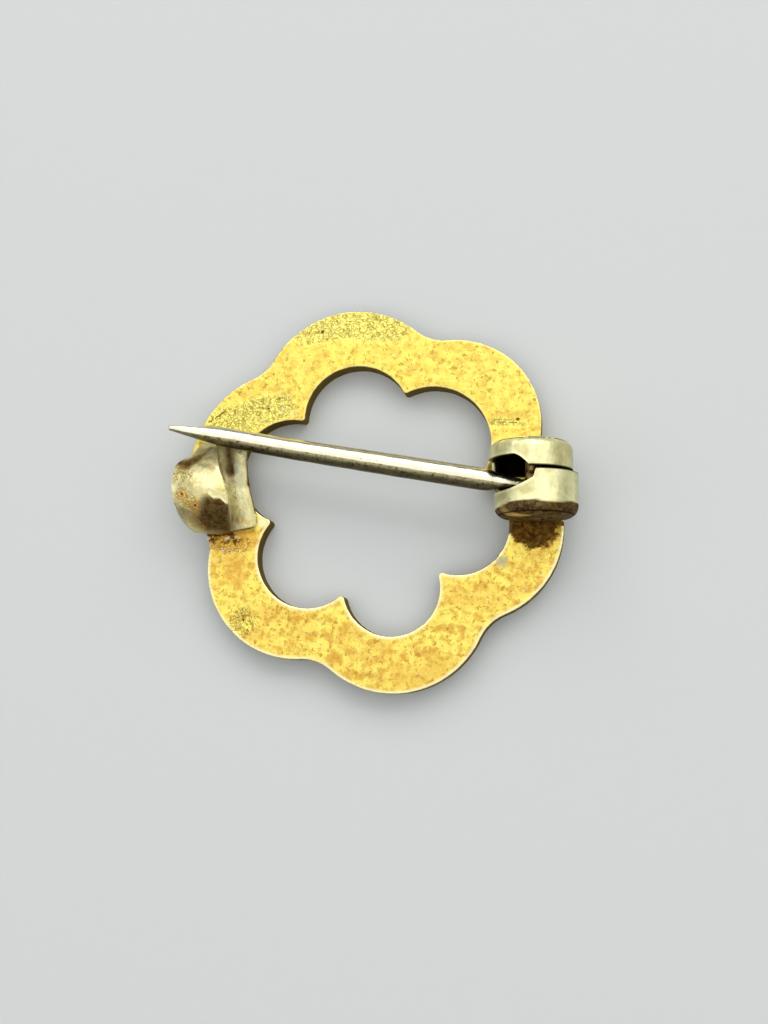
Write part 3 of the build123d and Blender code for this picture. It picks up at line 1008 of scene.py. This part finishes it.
def model_cup(name, depth, slot_depth, rim_share, joint):
    """One drawn cup along +Y, its mouth at the origin with the slot's half cut into its rim."""
    profile, side = cup_profile(joint, depth)
    piece = spun(name, profile, (0, 1, 0), *((-turn, steps) for turn, steps in CUP_STRETCHES))
    first = 0.0
    for turn, steps in CUP_STRETCHES:
        for angle in [first + turn / steps * step for step in range(steps)]:
            share = slot_share(angle, joint, rim_share)
            if share <= 0 or not SLOT_FIRST < angle < SLOT_LAST:
                continue
            outward = Vector((math.cos(math.radians(angle)), 0, math.sin(math.radians(angle))))

            def in_column(place_of, outward=outward):
                flat = Vector((place_of.x, 0, place_of.z))
                return place_of.y < side + MICRON and (flat.normalized() - outward).length < COLUMN_HALF

            choose(piece, in_column)
            scale = (side - slot_depth * share) / side
            bpy.ops.transform.resize(value=(1, scale, 1), center_override=(0, side, 0))
        first += turn
    face_away(piece, Vector((0, depth / 3, 0)))
    thicken(piece, joint.sheet)
    round_edges(piece, joint.rim)
    smooth_levels(piece, 1)
    return piece


# The far cup's orange streak, along X and Y, and the gold band on the near cup's end, along X and Z:
# where each lies in millimetres, and how it is stretched.
FAR_STREAK = (7.75, 1.05, 0.16, 0.42)
NEAR_BAND = (5.90, 3.05, 0.85, 0.36)


def oval_reach(first, second, middle, level, wide, tall):
    """How far places lie from the middle of a stretched mark."""
    return np.hypot((first - middle * MM) / wide, (second - level * MM) / tall)


def cup_channels(piece, joint, cup):
    """Painted shade inside and on the cups' flanks, painted highlights along the slot's edges, the far cup's
    brown foot and orange streak, and the near cup's end in painted shade with a painted highlight along its
    shoulder and a band of gold.
    """
    places = rows_of(piece, "co")
    across = places[:, 0] - HINGE.x - cup.side
    high = places[:, 2] - HINGE.z
    inward = (places[:, 1] - joint.slit_offset) * cup.way
    radius = joint.diameter / 2
    angles = np.degrees(np.arctan2(high, across)) % 360
    rim = joint.slit_width / 2
    shares = np.array([slot_share(angle, joint, cup.rim_share) for angle in angles])
    in_slot = (angles > SLOT_FIRST) & (angles < SLOT_LAST) & (shares > 0.05)
    lip = rim + (cup.slot - rim) * shares
    outside = np.hypot(across, high) > radius - joint.sheet * 0.5
    inner = ~outside & (inward < cup.depth - joint.sheet * 0.5)
    in_slit = ~in_slot & (inward < rim + 0.03 * MM)
    # Painted shade inside the cup and in the slit.
    write_channels(piece, dark=np.maximum(inner * 1.0, in_slit * 0.8))
    # Painted highlights along the slot's edges.
    lip_highlights = in_slot * outside * (1 - soft_step(inward - lip, 0.05 * MM, 0.15 * MM))
    # Painted shade on the cup's flanks, laid in the pale channel.
    shaded_sides = 0.8 * outside * soft_step(np.abs(across) / radius, 0.76, 0.98)
    if cup.way > 0:
        brown = 0.9 * outside * (1 - soft_step(places[:, 2], 1.0 * MM, 1.25 * MM))
        streak = oval_reach(places[:, 0], places[:, 1], *FAR_STREAK)
        orange = 0.5 * outside * (1 - soft_step(streak, 0.2 * MM, 1.4 * MM))
        write_channels(piece, pale=shaded_sides, rim=lip_highlights, brown=brown, orange=orange)
        return
    shoulder = cup.depth - joint.dome - joint.corner
    lower_left = 0.16 * MM * (1 - soft_step(places[:, 0], 4.95 * MM, 5.75 * MM))
    wander = 0.025 * MM * np.sin(places[:, 0] / (0.31 * MM)) - lower_left
    # The near end, from its shoulder down, in painted shade, darker towards the bottom, with a painted
    # highlight just above the shoulder.
    end = soft_step(inward + wander, shoulder - 0.03 * MM, shoulder + 0.04 * MM)
    shoulder_highlight = 1 - soft_step(np.abs(inward + wander - shoulder + 0.10 * MM), 0.03 * MM, 0.12 * MM)
    gold = 1 - soft_step(oval_reach(places[:, 0], places[:, 2], *NEAR_BAND), 0.3 * MM, 1.15 * MM)
    write_channels(
        piece,
        pale=shaded_sides * (1 - end),
        rim=np.maximum(lip_highlights, 0.9 * shoulder_highlight * outside),
        deep=end * (1 - 0.60 * gold),
        orange=end * 0.85 * gold,
        brown=end * 0.62 * (1 - soft_step(places[:, 2], 1.2 * MM, 2.3 * MM)),
    )


def add_plate(piece, low, high):
    """Joins a plain closed block between two corners to a piece."""
    only(None)
    bpy.ops.mesh.primitive_cube_add(size=1)
    plate = bpy.context.active_object
    bpy.ops.object.mode_set(mode="EDIT")
    bpy.ops.transform.resize(value=Vector(high) - Vector(low))
    bpy.ops.transform.translate(value=(Vector(high) + Vector(low)) / 2)
    join(piece, plate)


# One of the joint's cups: its name, depth, slot, the slot's form, which way it lies and how far to the side.
Cup = namedtuple("Cup", "name depth slot rim_share way side")


def cups_of(joint):
    """The far and the near cup."""
    return (
        Cup("far_cup", joint.far_depth, joint.slot_far, far_slot_share, 1, -joint.side_step / 2),
        Cup("near_cup", joint.near_depth, joint.slot_near, near_slot_share, -1, joint.side_step / 2),
    )


# The block of solder below each cup: its width, and how deep it is sunk in the ring's back.
PLATE_WIDTH = 2.2 * MM
PLATE_SUNK = 0.05 * MM


def model_joint_cup(cup):
    """One cup at its place on the ring, cut flat and closed below by the solder that it sits on."""
    joint = bpy.context.scene.pin_joint
    gap = joint.slit_width / 2
    piece = model_cup(cup.name, cup.depth - gap, cup.slot - gap, cup.rim_share, joint)
    if cup.way < 0:
        edit(piece)
        select_all()
        bpy.ops.transform.resize(value=(1, -1, 1), center_override=(0, 0, 0))
        select_all()
        bpy.ops.mesh.flip_normals()
    middle = HINGE.x + cup.side
    place(piece, Matrix.Translation((middle, joint.slit_offset + cup.way * gap, HINGE.z)))
    low = BACK_FACE - PLATE_SUNK
    edit(piece)
    select_all()
    bpy.ops.mesh.bisect(plane_co=(0, 0, low), plane_no=(0, 0, 1), use_fill=True, clear_inner=True)
    ends = sorted(joint.slit_offset + cup.way * along for along in (gap, cup.depth - joint.sheet))
    half = PLATE_WIDTH / 2
    add_plate(piece, (middle - half, ends[0], low), (middle + half, ends[1], BACK_FACE + joint.sheet))
    roughen(piece, 0.5 * MM, 0.015 * MM)
    smooth(piece, 50)
    return piece


# Catch

def model_catch_curl():
    """The strip that rises from the foot and curls over it, lofted over its rails."""
    catch = bpy.context.scene.pin_catch
    rails = [[Vector(point) * MM for point in rail] for rail in CURL_RAILS]
    piece = draw_rails("catch_curl", rails)
    for pair in zip(rails, rails[1:]):

        def on_pair(place_of, points=pair[0] + pair[1]):
            return any((place_of - point).length < 2 * MICRON for point in points)

        bpy.ops.mesh.select_mode(type="VERT")
        choose(piece, on_pair)
        bpy.ops.mesh.select_mode(type="EDGE")
        bpy.ops.mesh.bridge_edge_loops(number_cuts=1, interpolation="LINEAR")
    under_curl = Vector((-1.0, 1.0, 1.2)) * MM
    face_away(piece, under_curl)
    smooth_levels(piece, 3)
    thicken(piece, catch.sheet, 0.0)
    round_edges(piece, 0.05 * MM, 2, 50)
    roughen(piece, 0.35 * MM, 0.03 * MM)
    turn = Matrix.Rotation(catch.turn, 4, "Z")
    place(piece, Matrix.Translation((-catch.reach, catch.side, 0)) @ turn)
    smooth(piece, 50)
    return piece


def model_catch_foot():
    """The foot under the curl, lofted between its two side edges and lower towards the joint."""
    catch = bpy.context.scene.pin_catch
    heights = (BACK_FACE + catch.sheet - catch.slope, BACK_FACE + catch.sheet + catch.slope / 2)
    rails = [[Vector((x * MM, y * MM, high)) for x, y in edge] for edge, high in zip(FOOT_EDGES, heights)]
    piece = draw_rails("catch_foot", rails)
    select_all()
    bpy.ops.mesh.select_mode(type="EDGE")
    bpy.ops.mesh.bridge_edge_loops(number_cuts=5, interpolation="LINEAR")
    under_foot = Vector((-5.9, 0.5, 0)) * MM
    face_away(piece, under_foot)
    smooth_levels(piece, 3)
    thicken(piece, catch.sheet + 0.05 * MM)
    round_edges(piece, 0.07 * MM)
    roughen(piece, 0.4 * MM, 0.03 * MM)
    smooth(piece, 50)
    return piece


def curl_channels(piece):
    """The curl's marks, with the painted shade of the hollow only below the crease."""
    chart_marks(piece, CURL_MARKS)
    places = rows_of(piece, "co")
    crease = np.interp(places[:, 0] / MM, CREASE_ACROSS, CREASE_DEEP) * MM
    above = soft_step(places[:, 1] - crease, -0.10 * MM, 0.02 * MM) * (places[:, 1] < 0.85 * MM)
    # Painted shade kept below the crease.
    write_channels(piece, deep=read_channel(piece, "deep") * (1 - 0.85 * above))


# Crumbs of dry flux on the ring below the catch: place in millimetres, length, width and turn.
CRUMBS = (
    (-6.88, -1.62, 0.2, 0.13, 20), (-6.7, -1.56, 0.1, 0.08, 70), (-6.08, -1.62, 0.26, 0.14, 25),
    (-5.7, -1.58, 0.16, 0.08, 40), (-5.62, -1.72, 0.12, 0.07, -20), (-6.28, -2.06, 0.12, 0.1, 10),
    (-6.2, -2.2, 0.22, 0.12, -60), (-6.02, -2.16, 0.26, 0.07, 25), (-5.76, -2.05, 0.22, 0.06, 30),
    (-6.36, -2.4, 0.16, 0.05, 75), (-6.42, -2.62, 0.2, 0.05, 80),
)
# How much longer, wider and higher a crumb's lump is made before its surface is sunk.
CRUMB_GROWTH = (1.15, 1.5, 1.3)


def model_crumbs():
    """The crumbs, each a flattened uneven lump half sunk in the ring's back."""
    lumps = []
    for number, (x, y, long, wide, turn) in enumerate(CRUMBS):
        only(None)
        bpy.ops.mesh.primitive_ico_sphere_add(subdivisions=3, radius=0.5)
        lump = bpy.context.active_object
        lump.name = f"crumb_{number}"
        bpy.ops.object.mode_set(mode="EDIT")
        sizes = zip((long, wide, wide), CRUMB_GROWTH)
        bpy.ops.transform.resize(value=[size * growth * MM for size, growth in sizes])
        turned = Matrix.Rotation(math.radians(turn), 4, "Z")
        place(lump, Matrix.Translation((x * MM, y * MM, BACK_FACE + 0.01 * MM)) @ turned)
        roughen(lump, 0.06 * MM, 0.04 * MM)
        lumps.append(lump)
    piece = lumps[0]
    join(piece, *lumps[1:])
    piece.name = piece.data.name = "flux_crumbs"
    smooth(piece, 60)
    return piece


# Rivet and stem

def model_rivet():
    """The plain cross pin through both cups."""
    rivet = bpy.context.scene.pin_rivet
    joint = bpy.context.scene.pin_joint
    far = joint.slit_offset + joint.far_depth - rivet.recess
    near = joint.slit_offset - joint.near_depth + rivet.recess
    radius = rivet.diameter / 2
    profile = [(0, near), (radius - rivet.edge, near), (radius, near + rivet.edge)]
    profile += [(radius, far - rivet.edge), (radius - rivet.edge, far), (0, far)]
    piece = spun("cross_rivet", profile, (0, 1, 0), (360, 32))
    face_away(piece, Vector((0, (far + near) / 2, 0)))
    place(piece, Matrix.Translation((HINGE.x, 0, HINGE.z)))
    smooth(piece, 30)
    return piece


# How far from the rivet the shank starts and is fully swollen, and the steps of its four stretches.
NECK_START = 0.5 * MM
SWOLLEN = 2.1 * MM
NECK_STEPS, SHANK_STEPS, TAPER_STEPS, TIP_STEPS = 14, 24, 22, 5


def stem_profile(stem):
    """Half of the shank's outline, from the neck over its knob to the blunt tip."""
    radius = stem.diameter / 2
    thick = radius + stem.swell
    neck = stem.neck / 2
    shoulder = stem.length - stem.point - 0.1 * MM
    end = stem.length - stem.tip
    points = [(NECK_START, 0), (NECK_START, neck * 0.8), (NECK_START + 0.05 * MM, neck)]
    for step in range(1, NECK_STEPS + 1):
        share = step / NECK_STEPS
        groove = 0.05 * MM * math.exp(-((share - 0.62) / 0.12) ** 2)
        out = neck + (thick - neck) * soft_step(share, 0, 1) - groove
        points.append((NECK_START + (SWOLLEN - NECK_START) * share, out))
    for step in range(1, SHANK_STEPS + 1):
        share = step / SHANK_STEPS
        worn = 0.006 * MM * math.sin(step * 1.9) * math.sin(math.pi * share)
        out = radius + stem.swell * (1 - share_of(share, 0.35, 1.0)) + worn
        points.append((SWOLLEN + (shoulder - SWOLLEN) * share, out))
    for step in range(1, TAPER_STEPS + 1):
        share = step / TAPER_STEPS
        points.append((shoulder + (end - shoulder) * share, radius + (stem.tip - radius) * share**1.4))
    return points + arc(end, 0, stem.tip, 0, math.pi / 2, TIP_STEPS)


def model_stem():
    """The pointed stem with its neck and its flat eye round the rivet."""
    stem = bpy.context.scene.pin_stem
    piece = spun("wire_stem", stem_profile(stem), (1, 0, 0), (360, 56))
    face_away(piece, Vector((stem.length / 2, 0, 0)))
    choose(piece, lambda place_of: place_of.x > stem.length - 0.01 * MM)
    pull((0, -stem.bend, 0), 6 * MM)
    tilt = Matrix.Rotation(math.pi - stem.skew, 4, "Z") @ Matrix.Rotation(stem.dip, 4, "Y")
    place(piece, Matrix.Translation((HINGE.x, stem.offset, HINGE.z)) @ tilt)
    join(piece, model_eye(stem))
    smooth(piece, 40)
    return piece


def stem_channels(piece, stem):
    """Painted shade, olive to dark, below; a duller painted reflection on the far side of the top, both
    fading to the tip; and painted shade inside the joint.
    """
    places = rows_of(piece, "co")
    sideways = np.array((math.sin(stem.skew), math.cos(stem.skew)))
    turned = rows_of(piece, "normal")[:, :2] @ sideways
    full = soft_step(stem.length - (HINGE.x - places[:, 0]), 0.3 * MM, 3.2 * MM)
    start = 0.45 - 0.29 * full
    hidden = 1 - soft_step(places[:, 2] - HINGE.z, 0.10 * MM, 0.35 * MM)
    inside = soft_step(places[:, 0], HINGE.x - 1.00 * MM, HINGE.x - 0.80 * MM)
    eye = soft_step(places[:, 0], HINGE.x - 0.62 * MM, HINGE.x - 0.50 * MM)
    # The lower side's channels hold painted shade, the far top's a duller painted reflection, and the dark
    # one painted shade inside the joint.
    write_channels(
        piece,
        brown=soft_step(-turned - start, 0.0, 0.12),
        deep=0.95 * soft_step(-turned - start, 0.05, 0.80),
        dim=full * soft_step(turned, 0.48, 0.62),
        dark=np.maximum(0.95 * hidden * inside, 0.88 * eye),
    )


def model_eye(stem):
    """The flat eye: a ring round the rivet with rounded edges."""
    half = stem.eye_thickness / 2
    outer = stem.eye / 2
    inner = stem.eye_bore / 2
    edge = 0.08 * MM
    section = [(inner, -half), (outer - edge, -half), (outer, -half + edge)]
    section += [(outer, half - edge), (outer - edge, half), (inner, half), (inner, -half)]
    piece = spun("stem_eye", section, (0, 1, 0), (360, 40))
    select_all()
    bpy.ops.mesh.normals_make_consistent(inside=False)
    place(piece, Matrix.Translation((HINGE.x, stem.offset, HINGE.z)))
    return piece


# Operators

class PIN_OT_flower_ring(bpy.types.Operator):
    """Model the flower ring"""

    bl_idname = "pin.flower_ring"
    bl_label = "Flower ring"

    def execute(self, context):
        finish = context.scene.pin_finishes
        piece = model_flower_ring()
        chart_marks(piece, RING_MARKS, BACK_FACE / 2)
        upright = np.abs(rows_of(piece, "normal")[:, 2])
        far_side = soft_step(rows_of(piece, "co")[:, 1], -4 * MM, 6 * MM)
        # Painted highlights along the edges, and painted shade on the upright walls.
        write_edge_highlights(piece, near_walls(piece, 0.28 * MM) * soft_step(upright, 0.45, 0.75))
        write_channels(piece, wall=1 - soft_step(upright, 0.20, 0.60), cool=far_side)
        sink_where(piece, "cracked", 0.15 * MM, 0.040 * MM)
        tones = Tones(finish.gilt, finish.warm_gilt, finish.amber, 0.85, 0.80)
        finish_piece(piece, gilt_finish("ring_gilt", tones), "gilt_brass", "frame", "soldered_frame")
        return {"FINISHED"}


class PIN_OT_joint_cups(bpy.types.Operator):
    """Model the joint's two drawn cups"""

    bl_idname = "pin.joint_cups"
    bl_label = "Joint cups"

    def execute(self, context):
        finish = context.scene.pin_finishes
        joint = context.scene.pin_joint
        tones = Tones(finish.pale_gilt, finish.thin_gilt, finish.olive, 0.36, 0.18)
        material = gilt_finish("cup_gilt", tones, (1, 0.22, 1), 0.36)
        for cup in cups_of(joint):
            piece = model_joint_cup(cup)
            cup_channels(piece, joint, cup)
            finish_piece(piece, material, "gilt_brass", "frame", "soldered_frame")
        return {"FINISHED"}


class PIN_OT_catch(bpy.types.Operator):
    """Model the catch's foot and curl"""

    bl_idname = "pin.catch"
    bl_label = "Catch"

    def execute(self, context):
        finish = context.scene.pin_finishes
        tones = Tones(finish.thin_gilt, finish.straw, finish.olive, 0.60, 0.35)
        material = gilt_finish("catch_gilt", tones, (1, 1, 1), 0.32)
        curl = model_catch_curl()
        curl_channels(curl)
        finish_piece(curl, material, "gilt_brass", "frame", "soldered_frame")
        foot = model_catch_foot()
        chart_marks(foot, FOOT_MARKS)
        finish_piece(foot, material, "gilt_brass", "frame", "soldered_frame")
        return {"FINISHED"}


class PIN_OT_crumbs(bpy.types.Operator):
    """Model the crumbs of flux beside the catch"""

    bl_idname = "pin.crumbs"
    bl_label = "Flux crumbs"

    def execute(self, context):
        finish_piece(model_crumbs(), crumb_finish(), "gilt_brass", "frame")
        return {"FINISHED"}


class PIN_OT_rivet(bpy.types.Operator):
    """Model the cross rivet"""

    bl_idname = "pin.rivet"
    bl_label = "Rivet"

    def execute(self, context):
        finish_piece(model_rivet(), rivet_finish(), "rivet_brass", "frame", "rivet")
        return {"FINISHED"}


class PIN_OT_stem(bpy.types.Operator):
    """Model the pin stem"""

    bl_idname = "pin.stem"
    bl_label = "Stem"

    def execute(self, context):
        piece = model_stem()
        stem_channels(piece, context.scene.pin_stem)
        finish_piece(piece, steel_finish(), "stem_metal", "stem", "pin_stem")
        return {"FINISHED"}


def model_tent(stage):
    """The floor, turned up at its far edge into a low round wall."""
    reach = stage.floor / 2
    curve = stage.floor * 0.1
    low = -0.01 * MM
    profile = [(0, low), (reach * 0.3, low), (reach - curve, low)]
    profile += arc(reach - curve, low + curve, curve, math.pi, math.pi / 2, 12)
    profile.append((reach, stage.wall))
    piece = spun("floor", profile, (0, 0, 1), (360, 96))
    face_away(piece, Vector((0, 0, -1)))
    smooth(piece, 60)
    return piece


# The two lamps, which face the pin: name, place, width, depth and brightness.
SOFTBOXES = (
    ("ceiling", (0.0, -0.01, 0.30), 1.5, 0.54, 0.86),
    ("window", (0.04, 0.32, 0.25), 0.80, 0.26, 2.3),
)


def set_up(name, data, place_at, turn):
    """A lamp or a camera at its place."""
    thing = bpy.data.objects.new(name, data)
    bpy.context.scene.collection.objects.link(thing)
    thing.location = place_at
    thing.rotation_mode = "QUATERNION"
    thing.rotation_quaternion = turn
    return thing


def add_softbox(name, place_at, width, depth, brightness):
    """A rectangular lamp of even brightness that faces the pin."""
    lamp = bpy.data.lights.new(name, "AREA")
    lamp.shape = "RECTANGLE"
    lamp.size = width
    lamp.size_y = depth
    lamp.energy = brightness * math.pi * width * depth
    box = set_up(name, lamp, place_at, (-Vector(place_at)).to_track_quat("-Z", "Y"))
    box.visible_camera = False


class PIN_OT_stage(bpy.types.Operator):
    """Set up the floor, the lights and the camera"""

    bl_idname = "pin.stage"
    bl_label = "Stage"

    def execute(self, context):
        stage = context.scene.pin_stage
        floor = model_tent(stage)
        floor.data.materials.append(floor_finish())

        eye = bpy.data.cameras.new("camera")
        eye.sensor_width = 36
        eye.lens = stage.lens
        eye.clip_start = 0.0005
        eye.clip_end = 5
        turn = Vector((0, 0, 1)).rotation_difference(Vector(stage.towards))
        context.scene.camera = set_up("camera", eye, stage.camera, turn)
        for row in SOFTBOXES:
            add_softbox(*row)

        world = context.scene.world or bpy.data.worlds.new("World")
        context.scene.world = world
        world.use_nodes = True
        world.node_tree.nodes.clear()
        output = world.node_tree.nodes.new("ShaderNodeOutputWorld")
        ground = world.node_tree.nodes.new("ShaderNodeBackground")
        ground.inputs["Color"].default_value = (0.22, 0.22, 0.22, 1)
        world.node_tree.links.new(ground.outputs["Background"], output.inputs["Surface"])
        context.scene.view_settings.view_transform = "Standard"
        return {"FINISHED"}


class PIN_PT_panel(bpy.types.Panel):
    """The pin's pieces and stage"""

    bl_idname = "PIN_PT_panel"
    bl_label = "Lingerie pin"
    bl_space_type = "VIEW_3D"
    bl_region_type = "UI"
    bl_category = "Pin"

    def draw(self, context):
        for operator in OPERATORS:
            self.layout.operator(operator.bl_idname)


SETTINGS = {
    "pin_ring": PinRingSizes,
    "pin_joint": PinJointSizes,
    "pin_rivet": PinRivetSizes,
    "pin_catch": PinCatchSizes,
    "pin_stem": PinStemSizes,
    "pin_finishes": PinFinishes,
    "pin_stage": PinStageSizes,
}
OPERATORS = (
    PIN_OT_flower_ring,
    PIN_OT_joint_cups,
    PIN_OT_catch,
    PIN_OT_crumbs,
    PIN_OT_rivet,
    PIN_OT_stem,
    PIN_OT_stage,
)


def register():
    for name, group in SETTINGS.items():
        bpy.utils.register_class(group)
        setattr(bpy.types.Scene, name, PointerProperty(type=group))
    for operator in OPERATORS:
        bpy.utils.register_class(operator)
    bpy.utils.register_class(PIN_PT_panel)


def unregister():
    bpy.utils.unregister_class(PIN_PT_panel)
    for operator in reversed(OPERATORS):
        bpy.utils.unregister_class(operator)
    for name, group in SETTINGS.items():
        delattr(bpy.types.Scene, name)
        bpy.utils.unregister_class(group)


def main():
    register()
    bpy.ops.pin.flower_ring()
    bpy.ops.pin.joint_cups()
    bpy.ops.pin.catch()
    bpy.ops.pin.crumbs()
    bpy.ops.pin.rivet()
    bpy.ops.pin.stem()
    bpy.ops.pin.stage()


if __name__ == "__main__":
    main()
